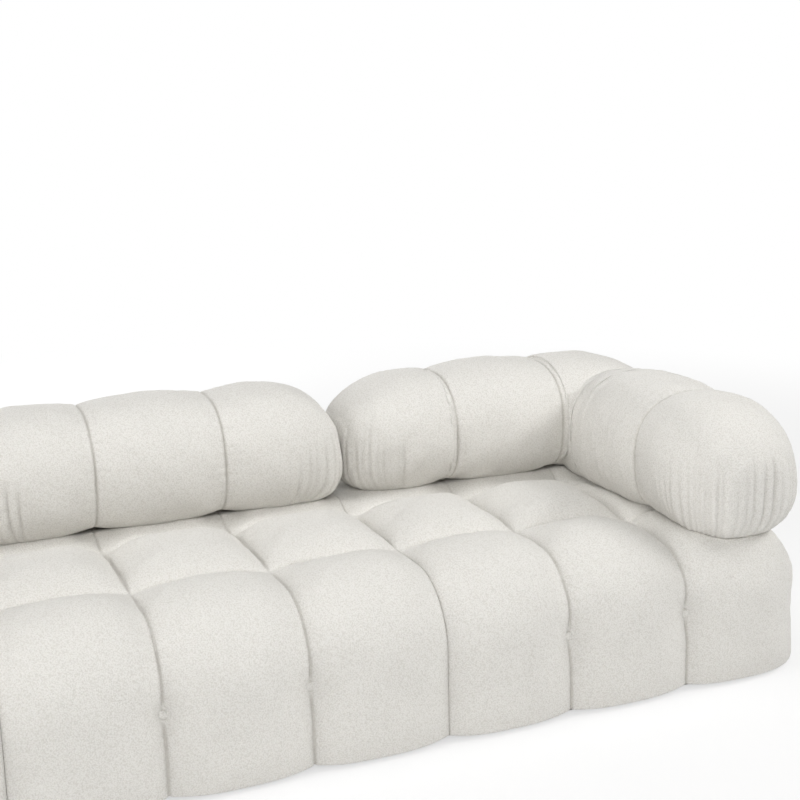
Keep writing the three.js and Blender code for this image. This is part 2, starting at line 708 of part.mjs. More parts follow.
// Steel connector between two modules, in layers across the gap from its left wall: a socket
// plate with two bent lips, the tongue of the hook behind them, and the hook's own plate
const socketPlateEnd = fitGap + connectorPlate;
const tongueEnd = socketPlateEnd + fitGap + connectorPlate;
const lipEnd = tongueEnd + fitGap + connectorPlate;
const hookPlateEnd = connectorRoom + fitGap;
const hookPlateStart = hookPlateEnd - connectorPlate;

function connectorSocket() {
  const half = connectorWidth / 2;
  const lip = (from, to) => boxSolid([tongueEnd + fitGap, from, 0], [lipEnd, to, socketDepth]);
  const wall = (from, to) => boxSolid([fitGap, from, 0], [lipEnd, to, socketDepth]);
  return joined([
    boxSolid([fitGap, -half, 0], [socketPlateEnd, half, connectorHeight]),
    wall(-half, -half + connectorPlate), wall(half - connectorPlate, half),
    lip(-half, -half + connectorPlate + socketLip), lip(half - connectorPlate - socketLip, half),
  ]);
}

function connectorHook() {
  const half = connectorWidth / 2;
  const web = socketDepth + fitGap;
  const tongueStart = socketPlateEnd + fitGap;
  const tongueHalf = tongueWidth / 2;
  return joined([
    boxSolid([hookPlateStart, -half, web], [hookPlateEnd, half, connectorHeight]),
    boxSolid([tongueStart, -tongueHalf, web], [hookPlateEnd, tongueHalf, web + connectorPlate]),
    boxSolid([tongueStart, -tongueHalf, fitGap], [tongueEnd, tongueHalf, web + connectorPlate]),
  ]);
}

// Finishes
const finishes = {
  cover: { color: 0xe9e5dc, roughness: 0.95, metalness: 0 },
  foam: { color: 0xf0dfa8, roughness: 0.9, metalness: 0 },
  timber: { color: 0xc9a36a, roughness: 0.7, metalness: 0 },
  webbing: { color: 0x3a3a3d, roughness: 0.85, metalness: 0 },
  dustCloth: { color: 0x1f1f21, roughness: 0.95, metalness: 0 },
  plastic: { color: 0x242426, roughness: 0.5, metalness: 0 },
  steel: { color: 0xb4b6b9, roughness: 0.35, metalness: 1 },
};

function named(name, geometry, finish) {
  const mesh = new THREE.Mesh(geometry, new THREE.MeshStandardMaterial(finishes[finish]));
  mesh.name = name;
  return mesh;
}

// All the pieces of one module. The left corner is the right one for the other hand.
function assemble(name, module, hand) {
  const group = new THREE.Group();
  const handed = (solid) => (hand < 0 ? mirrored(toGeometry(solid)) : toGeometry(solid));
  const add = (piece, solid, finish) => group.add(named(`${name}_${piece}`, handed(solid), finish));
  add("base_cushion", module.baseCushion(), "cover");
  add("bolster", module.bolster(), "cover");
  add("bolster_board", module.bolsterBoards(), "timber");
  add("base_frame", module.baseFrame(), "timber");
  add("webbing", module.webbing(), "webbing");
  add("seat_slab", module.seatSlab(), "foam");
  add("dust_cloth", module.dustCloth(), "dustCloth");
  for (const [piece, x, y] of module.glidePlaces()) {
    const foot = named(`${name}_${piece}`, glide(), "plastic");
    foot.position.set(hand * x, y, 0);
    group.add(foot);
  }
  for (const { name: piece, x, y, facing } of module.buttonPlaces()) {
    const button = named(`${name}_${piece}`, coveredButton(), "cover");
    const inward = module.buttonDepth(facing);
    button.position.set(hand * (x - facing[0] * inward), y - facing[1] * inward, buttonHeight);
    button.rotation.z = Math.atan2(-hand * facing[0], facing[1]);
    group.add(button);
  }
  return group;
}

// The row of three, each just clear of the next
const jointGap = 2 * fitGap;
const centre = new SofaModule(centreWidths, false);
const corner = new SofaModule(cornerWidths, true);
const cornerOffset = centre.width / 2 + jointGap + corner.width / 2;
const modules = {
  left_corner: [corner, -1, -cornerOffset],
  centre: [centre, 1, 0],
  right_corner: [corner, 1, cornerOffset],
};
const row = new THREE.Group();
for (const [name, [module, hand, x]] of Object.entries(modules)) {
  const group = assemble(name, module, hand);
  group.position.x = x;
  row.add(group);
}

// Two connectors in each joint, the socket on the left module and the hook on the right one
for (const [side, x] of [["left", centre.left - jointGap], ["right", centre.right]]) {
  connectorRows().forEach((y, i) => {
    const end = i === 0 ? "front" : "back";
    const socket = named(`${side}_joint_socket_${end}`, toGeometry(connectorSocket()), "steel");
    const hook = named(`${side}_joint_hook_${end}`, toGeometry(connectorHook()), "steel");
    for (const piece of [socket, hook]) {
      piece.position.set(x - connectorRoom / 2, y, connectorFoot);
      row.add(piece);
    }
  });
}

// Footprint centred on the origin
const sofa = new THREE.Group();
sofa.add(row);
const middle = new THREE.Box3().setFromObject(row).getCenter(new THREE.Vector3());
row.position.set(-middle.x, -middle.y, 0);

export default sofa;
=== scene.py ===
"""A modular tufted sofa in ivory looped-pile fabric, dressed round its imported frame.

Three modules stand in a row: a left corner, an armless centre and a right corner. Metres,
+X along the row to the viewer's right, +Y to the back, +Z up, floor at Z = 0. The left
corner is the right one made for the other hand, so its soft pieces are mirrored copies.
"""
import math

import bmesh
import bpy
import numpy as np
from mathutils import Matrix, Vector


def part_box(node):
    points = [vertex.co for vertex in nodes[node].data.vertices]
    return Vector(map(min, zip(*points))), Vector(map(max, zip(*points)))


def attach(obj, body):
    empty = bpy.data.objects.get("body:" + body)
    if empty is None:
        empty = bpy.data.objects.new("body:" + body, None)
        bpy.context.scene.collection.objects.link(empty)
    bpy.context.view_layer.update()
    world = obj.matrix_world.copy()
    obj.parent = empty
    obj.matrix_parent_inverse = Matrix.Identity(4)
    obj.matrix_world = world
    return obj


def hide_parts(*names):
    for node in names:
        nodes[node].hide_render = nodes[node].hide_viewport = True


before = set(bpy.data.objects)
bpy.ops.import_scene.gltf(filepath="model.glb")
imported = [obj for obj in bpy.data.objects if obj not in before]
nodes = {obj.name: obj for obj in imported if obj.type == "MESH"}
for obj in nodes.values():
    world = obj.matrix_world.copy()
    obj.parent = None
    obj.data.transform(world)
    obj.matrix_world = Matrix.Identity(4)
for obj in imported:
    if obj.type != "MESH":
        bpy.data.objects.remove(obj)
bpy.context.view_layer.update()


# Camera
# The photograph was taken from the left front, above the seat, looking a little down. The
# place and lens were worked out from the seams, which repeat at one pitch.
camera_aside = -0.6882
camera_distance = 2.4693
camera_height = 1.3656
camera_angles = (22.93, 12.32, -1.32)
lens_length = 61.4
film_width = 36.0

camera_place = (camera_aside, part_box("centre_base_cushion")[0].y - camera_distance, camera_height)
camera_yaw, camera_pitch, camera_roll = (math.radians(angle) for angle in camera_angles)

ahead = np.array([math.sin(camera_yaw) * math.cos(camera_pitch),
                  math.cos(camera_yaw) * math.cos(camera_pitch), -math.sin(camera_pitch)])
level = np.array([math.cos(camera_yaw), -math.sin(camera_yaw), 0.0])
upward = np.cross(level, ahead)
right = math.cos(camera_roll) * level + math.sin(camera_roll) * upward
up = -math.sin(camera_roll) * level + math.cos(camera_roll) * upward


def linked(name, data):
    """An object of the scene that holds a mesh, a lens or a lamp's light."""
    made = bpy.data.objects.new(name, data)
    bpy.context.scene.collection.objects.link(made)
    return made


lens = bpy.data.cameras.new("camera")
lens.sensor_width = film_width
lens.lens = lens_length
camera = linked("camera", lens)
turn = Matrix([right, up, -ahead]).transposed().to_4x4()
camera.matrix_world = Matrix.Translation(camera_place) @ turn
bpy.context.scene.camera = camera


# Timber frames and boards
# Each module stands on a ladder frame of planed pine, glued at its corner blocks. Birch
# plywood boards with two legs each stiffen the rolls. None of it shows in use.
pine_colour = (0.60, 0.41, 0.22, 1)
pine_late_wood = (0.40, 0.24, 0.11, 1)
birch_colour = (0.66, 0.50, 0.32, 1)
birch_glue_line = (0.30, 0.19, 0.10, 1)


def new_material(name):
    """An empty node material and its Principled shader."""
    material = bpy.data.materials.new(name)
    material.use_nodes = True
    return material, material.node_tree.nodes["Principled BSDF"]


def finish(shader, **values):
    """Sets the plain values of a shader's sockets."""
    for key, value in values.items():
        shader.inputs[key.replace("_", " ")].default_value = value


def node(material, kind, links=None, **settings):
    """Adds a shader node to a material or the sky. Settings are its properties or the values
    of its sockets, and links join its inputs to other nodes' outputs."""
    made = material.node_tree.nodes.new("ShaderNode" + kind)
    for key, value in settings.items():
        if hasattr(made, key):
            setattr(made, key, value)
        else:
            finish(made, **{key: value})
    for socket, source in (links or {}).items():
        material.node_tree.links.new(source, made.inputs[socket])
    return made


def join(material, source, target):
    """Links one socket to another."""
    material.node_tree.links.new(source, target)


def ramp(material, source, stops):
    """A colour ramp with the given (place, colour) stops."""
    made = node(material, "ValToRGB", {"Fac": source})
    while len(made.color_ramp.elements) < len(stops):
        made.color_ramp.elements.new(0.5)
    for element, (place, colour) in zip(made.color_ramp.elements, stops):
        element.position = place
        element.color = colour
    return made.outputs["Color"]


def bump(material, shader, height, depth, strength=1.0):
    """Raises the surface by depth where height is 1."""
    made = node(material, "Bump", {"Height": height}, Distance=depth, Strength=strength)
    join(material, made.outputs["Normal"], shader.inputs["Normal"])


def grained_wood(name, light, dark, stretch, roughness):
    """Wood: noise drawn out along the grain tints the surface and raises it a little."""
    material, shader = new_material(name)
    place = node(material, "TexCoord").outputs["Object"]
    along = node(material, "Mapping", {"Vector": place}, Scale=stretch).outputs["Vector"]
    grain = node(material, "TexNoise", {"Vector": along}, Scale=1.0, Detail=5.0, Roughness=0.6,
                 Distortion=0.7)
    colour = ramp(material, grain.outputs["Fac"], [(0.35, dark), (0.62, light)])
    join(material, colour, shader.inputs["Base Color"])
    finish(shader, Roughness=roughness)
    bump(material, shader, grain.outputs["Fac"], depth=0.0004)
    return material


pine = grained_wood("pine", pine_colour, pine_late_wood, stretch=(14, 60, 90), roughness=0.62)
birch = grained_wood("birch_plywood", birch_colour, birch_glue_line, stretch=(16, 18, 260),
                     roughness=0.58)


def dress(names, material):
    """Gives carried-over pieces their finish."""
    for name in names:
        nodes[name].data.materials.clear()
        nodes[name].data.materials.append(material)


modules = ("left_corner", "centre", "right_corner")
dress([f"{module}_base_frame" for module in modules], pine)
dress([f"{module}_bolster_board" for module in modules], birch)


# Webbing
# Elastic straps of woven polypropylene and rubber run both ways over the frame and are
# stapled to its rails. They carry the foam slab.
strap_black = (0.018, 0.018, 0.02, 1)
strap_ridge = (0.06, 0.06, 0.065, 1)


def woven(name, colour, light, threads, roughness, depth):
    """Plain weave: two crossed rows of rounded ridges, multiplied."""
    material, shader = new_material(name)
    place = node(material, "TexCoord").outputs["Object"]
    warp, weft = (node(material, "TexWave", {"Vector": place}, bands_direction=way, Scale=threads,
                       Distortion=0.4) for way in ("X", "Y"))
    both = node(material, "Math", {0: warp.outputs["Fac"], 1: weft.outputs["Fac"]}, operation="MULTIPLY")
    tint = ramp(material, both.outputs[0], [(0.0, colour), (1.0, light)])
    join(material, tint, shader.inputs["Base Color"])
    finish(shader, Roughness=roughness)
    bump(material, shader, both.outputs[0], depth)
    return material


strap_weave = woven("strap_weave", strap_black, strap_ridge, threads=140, roughness=0.7, depth=0.0005)
dress([f"{module}_webbing" for module in modules], strap_weave)


# Glides and connectors
# Moulded plastic glides are screwed under the frame's corners. Pressed and zinc-plated
# steel sockets and hooks hold each module to the next.
plastic_black = (0.02, 0.02, 0.022, 1)
plastic_dark = (0.012, 0.012, 0.013, 1)
zinc_light = (0.62, 0.63, 0.64, 1)
zinc_dark = (0.42, 0.43, 0.45, 1)


def speckled(name, colour, dark, scale, roughness, metallic):
    """Plain moulded or plated finish with a fine uneven tone."""
    material, shader = new_material(name)
    place = node(material, "TexCoord").outputs["Object"]
    tone = node(material, "TexNoise", {"Vector": place}, Scale=scale, Detail=4.0)
    tint = ramp(material, tone.outputs["Fac"], [(0.3, dark), (0.7, colour)])
    join(material, tint, shader.inputs["Base Color"])
    finish(shader, Roughness=roughness, Metallic=metallic)
    bump(material, shader, tone.outputs["Fac"], depth=0.0001)
    return material


moulded_plastic = speckled("moulded_plastic", plastic_black, plastic_dark, scale=400, roughness=0.45,
                           metallic=0.0)
zinc_plate = speckled("zinc_plate", zinc_light, zinc_dark, scale=60, roughness=0.38, metallic=1.0)
dress([name for name in nodes if "_glide_" in name], moulded_plastic)
dress([name for name in nodes if "_joint_" in name], zinc_plate)


# Seat slabs
# A slab of polyurethane foam lies on the webbing inside each base, under the tufted top.
# It is cut from block foam, so its faces are flat and its edges just soft.
slab_crown = 0.004
slab_edge = 0.012
slab_squareness = 14
slab_sides = 96
foam_dark = (0.80, 0.66, 0.36, 1)
foam_light = (0.88, 0.78, 0.52, 1)


def closed_surface(name, points, wrap):
    """A mesh from a grid of points (rows, columns, 3), its rows closed round when wrap is
    set, with a flat many-sided face on the first and the last row."""
    rows, columns = points.shape[:2]
    index = np.arange(rows * columns).reshape(rows, columns)
    following = np.roll(index, -1, 1) if wrap else index[:, 1:]
    current = index if wrap else index[:, :-1]
    quads = np.stack([current[:-1], following[:-1], following[1:], current[1:]], -1).reshape(-1, 4)
    caps = [index[0][::-1].tolist(), index[-1].tolist()] if wrap else []
    mesh = bpy.data.meshes.new(name)
    mesh.from_pydata(points.reshape(-1, 3), [], quads.tolist() + caps)
    mesh.validate()
    return mesh


def add_piece(name, mesh, material, stands_for):
    """Puts a finished mesh into the scene, on the sofa's one body, in place of its nodes."""
    mesh.materials.clear()
    mesh.materials.append(material)
    for polygon in mesh.polygons:
        polygon.use_smooth = True
    piece = linked(name, mesh)
    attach(piece, "root")
    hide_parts(*stands_for)
    return piece


def foam_slab(low, high):
    """Rings from the underside to the top of a box. Each follows a superellipse with
    tight corners, drawn in at the edges, and the top is crowned."""
    centre, half = (low + high) / 2, (high - low) / 2
    turn = np.linspace(0, 2 * np.pi, slab_sides, endpoint=False)
    power = 2 / slab_squareness
    plan = np.stack([np.sign(np.cos(turn)) * np.abs(np.cos(turn)) ** power,
                     np.sign(np.sin(turn)) * np.abs(np.sin(turn)) ** power], -1)
    rise = np.array([-1, -1, -0.9, -0.55, 0, 0.55, 0.9, 1, 1, 1, 1])
    inset = np.array([40, 1.0, 0.3, 0, 0.1, 0, 0.3, 1, 6, 16, 40]) * slab_edge
    lift = np.array([0, 0, 0, 0, 0, 0, 0, -1, -0.6, -0.3, 0]) * slab_crown
    spread = half[None, :2] - inset[:, None]
    points = np.empty((len(rise), len(turn), 3))
    points[..., :2] = centre[:2] + plan[None] * np.maximum(spread, 0.0)[:, None]
    points[..., 2] = (centre[2] + half[2] * rise + lift)[:, None]
    return points


foam, foam_shader = new_material("open_cell_foam")
foam_place = node(foam, "TexCoord").outputs["Object"]
foam_cells = node(foam, "TexVoronoi", {"Vector": foam_place}, Scale=700.0)
foam_tone = ramp(foam, foam_cells.outputs["Distance"], [(0.0, foam_dark), (0.8, foam_light)])
join(foam, foam_tone, foam_shader.inputs["Base Color"])
finish(foam_shader, Roughness=0.95)
bump(foam, foam_shader, foam_cells.outputs["Distance"], depth=0.0006)

for module in modules:
    low, high = (np.array(corner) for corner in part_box(f"{module}_seat_slab"))
    slab = closed_surface(f"{module}_foam_slab", foam_slab(low, high), wrap=True)
    add_piece(f"{module}_foam_slab", slab, foam, [f"{module}_seat_slab"])


# Dust cloths
# Thin black non-woven cloth is pulled over the underside of each frame and stapled along
# its edges, where it ripples a little between the staples.
staple_spacing = 0.055
ripple = 0.0006
sheet_columns = 80
sheet_rows = 72
fibre_black = (0.010, 0.010, 0.011, 1)
fibre_ridge = (0.022, 0.022, 0.024, 1)


def pulled_cloth(low, high):
    """A flat sheet. Its height is a sine wave along each axis, of one staple spacing, times
    an exponential that dies out from the nearest edge inwards."""
    x, y = np.meshgrid(np.linspace(low[0], high[0], sheet_columns),
                       np.linspace(low[1], high[1], sheet_rows))
    inward = np.minimum.reduce([x - low[0], high[0] - x, y - low[1], high[1] - y])
    wave = np.sin(2 * np.pi * x / staple_spacing) + np.sin(2 * np.pi * y / staple_spacing)
    z = (low[2] + high[2]) / 2 + 0.5 * ripple * wave * np.exp(-inward / (2 * staple_spacing))
    return np.stack([x, y, z], -1)


dust_fibre = woven("non_woven_cloth", fibre_black, fibre_ridge, threads=60, roughness=0.9, depth=0.0002)
for module in modules:
    low, high = (np.array(corner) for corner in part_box(f"{module}_dust_cloth"))
    sheet_mesh = closed_surface(f"{module}_underside_cloth", pulled_cloth(low, high), wrap=False)
    cloth_sheet = add_piece(f"{module}_underside_cloth", sheet_mesh, dust_fibre, [f"{module}_dust_cloth"])


# Looped-pile fabric
# Undyed wool-like yarn is knotted into curls about 3 mm across on a woven ground. Painted
# shade lies between the curls, and more painted shade darkens the pile down in the seams.
curl_size = 0.0031
curl_drift = 0.8
strand_share = 0.55
pile_depth = 0.0021
pile_strength = 0.85
pile_roughness = 0.96
pile_sheen = 0.18
patch_scale = 5.0
patch_tones = (0.975, 1.02)
pile_light = (0.862, 0.848, 0.814, 1)
pile_middle = (0.818, 0.802, 0.765, 1)
# painted shade in the hollows between the curls
pile_painted_shade = (0.700, 0.680, 0.636, 1)
# painted shade for the bottoms of the seams, the joints and the gathers' folds
painted_seam_shade = (0.42, 0.395, 0.35, 1)

looped, looped_shader = new_material("looped_pile_fabric")
pile_place = node(looped, "TexCoord").outputs["Object"]
drift = node(looped, "TexNoise", {"Vector": pile_place}, Scale=0.45 / curl_size, Detail=2.0)
drift_push = node(looped, "VectorMath", {0: drift.outputs["Color"]}, operation="MULTIPLY_ADD")
drift_push.inputs[1].default_value = (2 * curl_drift * curl_size,) * 3
drift_push.inputs[2].default_value = (-curl_drift * curl_size,) * 3
pile_warped = node(looped, "VectorMath", {0: pile_place, 1: drift_push.outputs[0]}, operation="ADD")
curls = node(looped, "TexVoronoi", {"Vector": pile_warped.outputs[0]}, Scale=1 / curl_size)
strands = node(looped, "TexNoise", {"Vector": pile_place}, Scale=1.1 / curl_size, Detail=2.0,
               Roughness=0.7)
curl_height = node(looped, "MapRange", {"Value": curls.outputs["Distance"]}, From_Min=0.75,
                   From_Max=0.05)
pile_height = node(looped, "Mix", {"A": curl_height.outputs[0], "B": strands.outputs["Fac"]},
                   Factor=strand_share)
# by the curls' height: painted shade in the hollows, the pile's own tone on top
tint = ramp(looped, pile_height.outputs["Result"],
            [(0.22, pile_painted_shade), (0.48, pile_middle), (0.72, pile_light)])
patches = node(looped, "TexNoise", {"Vector": pile_place}, Scale=patch_scale, Detail=3.0)
patch_tone = node(looped, "MapRange", {"Value": patches.outputs["Fac"]}, To_Min=patch_tones[0],
                  To_Max=patch_tones[1])
toned = node(looped, "VectorMath", {0: tint, 1: patch_tone.outputs[0]}, operation="MULTIPLY")

# painted shade down in the seams, joints and folds: a colour mix has its two colours in sockets 6 and 7
painted_shade_here = node(looped, "Attribute", attribute_name="seam")
final_tint = node(looped, "Mix", data_type="RGBA")
final_tint.inputs[7].default_value = painted_seam_shade
join(looped, toned.outputs[0], final_tint.inputs[6])
join(looped, painted_shade_here.outputs["Fac"], final_tint.inputs[0])
join(looped, final_tint.outputs[2], looped_shader.inputs["Base Color"])
finish(looped_shader, Roughness=pile_roughness, Specular_IOR_Level=0.15, Sheen_Weight=pile_sheen,
       Sheen_Roughness=0.5)
bump(looped, looped_shader, pile_height.outputs["Result"], pile_depth, pile_strength)


# Tufted base cushions
# The cover of each base is sewn from panels and filled with foam and wadding. Seams draw it
# in so that nine blocks swell between them, and the rolls press its rear row and its arm
# column flat. It is pulled over the frame like a cap, with the hem turned under.
crown_rise = 0.046
arm_crown = 0.008
front_bulge = 0.025
side_bulge = 0.028
crossing_height = 0.358
hem_height = 0.014
hem_sag = 0.007
hem_radius = 0.006
hem_rise = 0.070
hem_turn = (0.5, 0.15, 0.0)
shoulder_radius = 0.150
arm_side_radius = 0.148
arm_front_radius = 0.090
arm_blend = 0.050
arm_seam_dip = 0.026
arm_seam_rear_dip = 0.008
arm_seam_reach = (0.110, 0.030)
arm_seam_deep = 0.20
arm_seam_fade = 0.25
pressed_start = 0.040
pressed_fade = 0.045
pressed_play = 0.004
facing_up = 0.3
column_seam_share = 0.04
cross_seam_share = 0.20
hem_share = 0.80
puff_power = 2.5
middle_row_power = 5.0
middle_row_crown = 0.007
column_power = 3.0
middle_column_power = 4.2
button_dimple = 0.013
button_dimple_radius = 0.046
pocket_gap = 0.0003
mesh_step = 0.012
beside_seams = (0.0035, 0.008, 0.014)
weld_reach = 0.0002
solid_weld_reach = 0.00002
same_way = 0.95

# the filling, and how near to its seams and rests the cover is held
fill_shrink = 0.0035
fill_cap = 0.0075
fill_frames = 20
fill_pressure = 4
cloth_mass = 0.012
cloth_stiffness = 0.4
cloth_shear = 0.15
cloth_bending = 0.02
held_seam = 0.005
held_hem = 0.03
held_button = 0.03
held_back = 0.03
held_arm = 0.05

# grooves, puckers, an uneven swell, and painted shade in the grooves and joints
seam_groove = 0.0028
seam_width = 0.0032
painted_shade_strength = 0.5
painted_joint_shade = 0.6
top_painted_shade_loss = 0.45
pucker_lengths = (0.017, 0.024, 0.031)
pucker_phases = (0, 6.28)
pucker_reach = 0.020
pucker_start = 0.004
pucker_depth = 0.0012
swell_lengths = (0.07, 0.09, 0.11, 0.15)
swell_depth = 0.0012
edge_fade = 0.02
floor_clear = 0.004
button_clear = 0.012


def middle_of(name, axis):
    """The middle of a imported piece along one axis."""
    return sum(corner[axis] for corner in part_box(name)) / 2


class Module:
    """Sizes of one module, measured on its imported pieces."""

    def __init__(self, name, has_arm):
        self.name = name
        self.has_arm = has_arm
        low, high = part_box(f"{name}_base_cushion")
        self.left = low.x
        self.right = high.x - (side_bulge if has_arm else 0.0)
        self.front = low.y + front_bulge
        self.back = high.y - side_bulge
        self.joints = [self.left] if has_arm else [self.left, self.right]
        self.columns = [middle_of(f"{name}_front_button_{i}", 0) for i in (1, 2)]
        self.buttons = [(x, self.front, middle_of(f"{name}_front_button_1", 2)) for x in self.columns]
        self.buttons += [(x, self.back, middle_of(f"{name}_back_button_1", 2)) for x in self.columns]
        if has_arm:
            self.rows = [middle_of(f"{name}_side_button_{i}", 1) for i in (1, 2)]
            self.buttons += [(self.right, y, middle_of(f"{name}_side_button_1", 2)) for y in self.rows]
        else:
            # without side buttons, its rows follow the corner's
            self.rows = corner.rows


corner = Module("right_corner", True)
centre = Module("centre", False)
roll_low, roll_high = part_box("centre_bolster")
back_front = roll_low.y
back_rest = roll_low.z


def fullness(at, low, seams, high, closed_low, closed_high, tuft, power=puff_power):
    """Fullness along a row of seams: 1 less a power of each place's share of the way from
    the middle of its block to a seam, so 1 in the middle and steep beside a seam. A block
    that ends in a free edge rises over half a tuft from its seam and stays full."""
    stops = np.array([low, *seams, high])
    span = np.clip(np.searchsorted(stops, at, side="right") - 1, 0, len(seams))
    start, end = stops[span], stops[span + 1]
    share = 2 * (at - start) / (end - start) - 1
    if not closed_low:
        share = np.where(span == 0, np.minimum(2 * (end - at) / tuft - 1, 0), share)
    if not closed_high:
        share = np.where(span == len(seams), np.minimum(2 * (at - start) / tuft - 1, 0), share)
    return 1 - np.minimum(np.abs(share), 1) ** power


def smooth_step(value):
    """Rises from 0 to 1 with the value and is level at both ends: three times its square
    less twice its cube."""
    value = np.clip(value, 0, 1)
    return value * value * (3 - 2 * value)


def seam_lines(low, seams, high):
    """Grid places from low to high with a line on every seam and finer ones beside it."""
    beside = np.array(beside_seams)
    reach = beside[-1]
    places = []
    stops = [low, *seams, high]
    for start, end in zip(stops, stops[1:]):
        count = max(2, round((end - start - 2 * reach) / mesh_step) + 1)
        inner = np.linspace(start + reach, end - reach, count)
        places += [[start], start + beside[:-1], inner, end - beside[:-1][::-1]]
    return np.unique(np.round(np.concatenate([*places, [high]]), 6))


def tufted_skin(x, y, z, base):
    """Places of the cover for points (x, y, z) of a plain box. The box is rounded along its
    free edges with an ellipsoid, then pushed out along its normal: by the crown on top and
    the bulge on the sides, times the fullness of the block, and in at the buttons. The
    middle row is fuller and a little higher, and the seam beside an arm lies deeper."""
    in_arm_column = np.zeros_like(x)
    if base.has_arm:
        in_arm_column = smooth_step((x - base.columns[-1]) / arm_blend)

    # the plain box, rounded
    round_front = shoulder_radius + (arm_front_radius - shoulder_radius) * in_arm_column
    round_y = np.where(y < (base.front + base.back) / 2, round_front, shoulder_radius)
    radii = np.stack(np.broadcast_arrays(arm_side_radius, round_y, shoulder_radius), -1)
    core = np.stack([
        np.minimum(x, base.right - arm_side_radius) if base.has_arm else x,
        np.clip(y, base.front + round_front, base.back - shoulder_radius),
        np.minimum(z, crossing_height - shoulder_radius)], -1)
    way = (np.stack([x, y, z], -1) - core) / radii
    way /= np.linalg.norm(way, axis=-1, keepdims=True)
    place = core + way * radii
    normal = way / radii
    normal /= np.linalg.norm(normal, axis=-1, keepdims=True)

    # how full its block is at each point
    tuft = centre.columns[1] - centre.columns[0]
    middle_row = (y > base.rows[0]) & (y < base.rows[1])
    row_power = np.where(middle_row, middle_row_power, puff_power)
    row = fullness(y, base.front, base.rows, base.back, False, False, tuft, row_power)
    across_power = column_power + (middle_column_power - column_power) * middle_row * row
    column = fullness(x, base.left, base.columns, base.right, True, not base.has_arm, tuft, across_power)
    fill = column_seam_share * row * (1 - column) + cross_seam_share * column * (1 - row)
    fill += row * column

    # pushed out by the filling, in at the hem and the buttons
    side = np.where(normal[..., 1] < 0, front_bulge, side_bulge)
    crown = crown_rise + middle_row_crown * middle_row * row
    crown += (arm_crown - crown) * in_arm_column
    swell = normal[..., 2] ** 2 * crown + normal[..., 1] ** 2 * side + normal[..., 0] ** 2 * side_bulge
    lift = np.clip((z - hem_height) / hem_rise, 0, 1)
    swell *= fill * (hem_share + (1 - hem_share) * np.sqrt(1 - (1 - lift) ** 2))
    turn = np.clip((hem_height + hem_radius - z) / hem_radius, 0, 1)
    swell -= hem_radius * (1 - np.sqrt(1 - turn ** 2))
    facing = np.maximum(np.abs(normal[..., 0]), np.abs(normal[..., 1]))
    for button in base.buttons:
        distance = np.linalg.norm(place - np.array(button), axis=-1)
        swell -= button_dimple * facing * np.exp(-(distance / button_dimple_radius) ** 2)
    place = place + normal * swell[..., None]
    place[..., 2] -= hem_sag * fill * (1 - lift)

    # the seam beside the arm is pulled deeper, most at the front
    if base.has_arm:
        beside = x - base.columns[-1]
        reach = np.where(beside < 0, *arm_seam_reach)
        rearward = smooth_step((y - base.front - arm_seam_deep) / arm_seam_fade)
        dip = arm_seam_dip + (arm_seam_rear_dip - arm_seam_dip) * rearward
        place[..., 2] -= dip * np.exp(-(beside / reach) ** 2) * normal[..., 2] ** 2

    # under the back roll the wadding is pressed level, so no valley is left below it
    behind = smooth_step((place[..., 1] - back_front - pressed_start) / pressed_fade)
    behind *= normal[..., 2] > facing_up
    place[..., 2] += behind * np.maximum(back_rest + pressed_play - place[..., 2], 0)
    return place


def tufted_block(base):
    """The plain box under one base's cover, as grids over its top, its front, its back and
    an arm's outer side. Returns the grids' points and the faces between them."""
    line_x = seam_lines(base.left, base.columns, base.right)
    line_y = seam_lines(base.front, base.rows, base.back)
    levels = round((crossing_height - hem_height) / mesh_step)
    line_z = np.concatenate([np.linspace(crossing_height, hem_height + hem_radius, levels),
                             hem_height + hem_radius * np.array(hem_turn)])
    boxes, faces = [], []

    def patch(x, y, z, flip):
        first = sum(len(box) for box in boxes)
        rows, columns = x.shape
        index = first + np.arange(rows * columns).reshape(rows, columns)
        quads = np.stack([index[:-1, :-1], index[:-1, 1:], index[1:, 1:], index[1:, :-1]], -1)
        quads = quads.reshape(-1, 4)
        faces.append(quads[:, ::-1] if flip else quads)
        boxes.append(np.stack([x, y, z], -1).reshape(-1, 3))

    x, y = np.meshgrid(line_x, line_y)
    patch(x, y, np.full_like(x, crossing_height), False)
    x, z = np.meshgrid(line_x, line_z)
    patch(x, np.full_like(x, base.front), z, True)
    patch(x, np.full_like(x, base.back), z, False)
    if base.has_arm:
        y, z = np.meshgrid(line_y, line_z)
        patch(np.full_like(y, base.right), y, z, True)
    return np.concatenate(boxes), np.concatenate(faces)


def cover_mesh(name, base):
    """The cover's mesh, open at its joint sides and its underside. Each point keeps its
    place on the plain box."""
    box_places, faces = tufted_block(base)
    mesh = bpy.data.meshes.new(name)
    mesh.from_pydata(tufted_skin(*box_places.T, base), [], faces.tolist())
    layer = mesh.attributes.new("box_place", "FLOAT_VECTOR", "POINT")
    layer.data.foreach_set("vector", box_places.astype(np.float32).ravel())
    sculpt = bmesh.new()
    sculpt.from_mesh(mesh)
    bmesh.ops.remove_doubles(sculpt, verts=sculpt.verts, dist=weld_reach)
    sculpt.to_mesh(mesh)
    sculpt.free()
    return mesh


def closed(mesh):
    """Fills each open edge with a flat face and turns all faces outwards."""
    sculpt = bmesh.new()
    sculpt.from_mesh(mesh)
    bmesh.ops.holes_fill(sculpt, edges=[edge for edge in sculpt.edges if edge.is_boundary], sides=0)
    bmesh.ops.recalc_face_normals(sculpt, faces=sculpt.faces)
    sculpt.to_mesh(mesh)
    sculpt.free()
    return mesh


def vectors(values, key):
    """Three numbers from each item of a mesh's list, as rows of an array."""
    flat = np.zeros(len(values) * 3, np.float32)
    values.foreach_get(key, flat)
    return flat.reshape(-1, 3).astype(float)


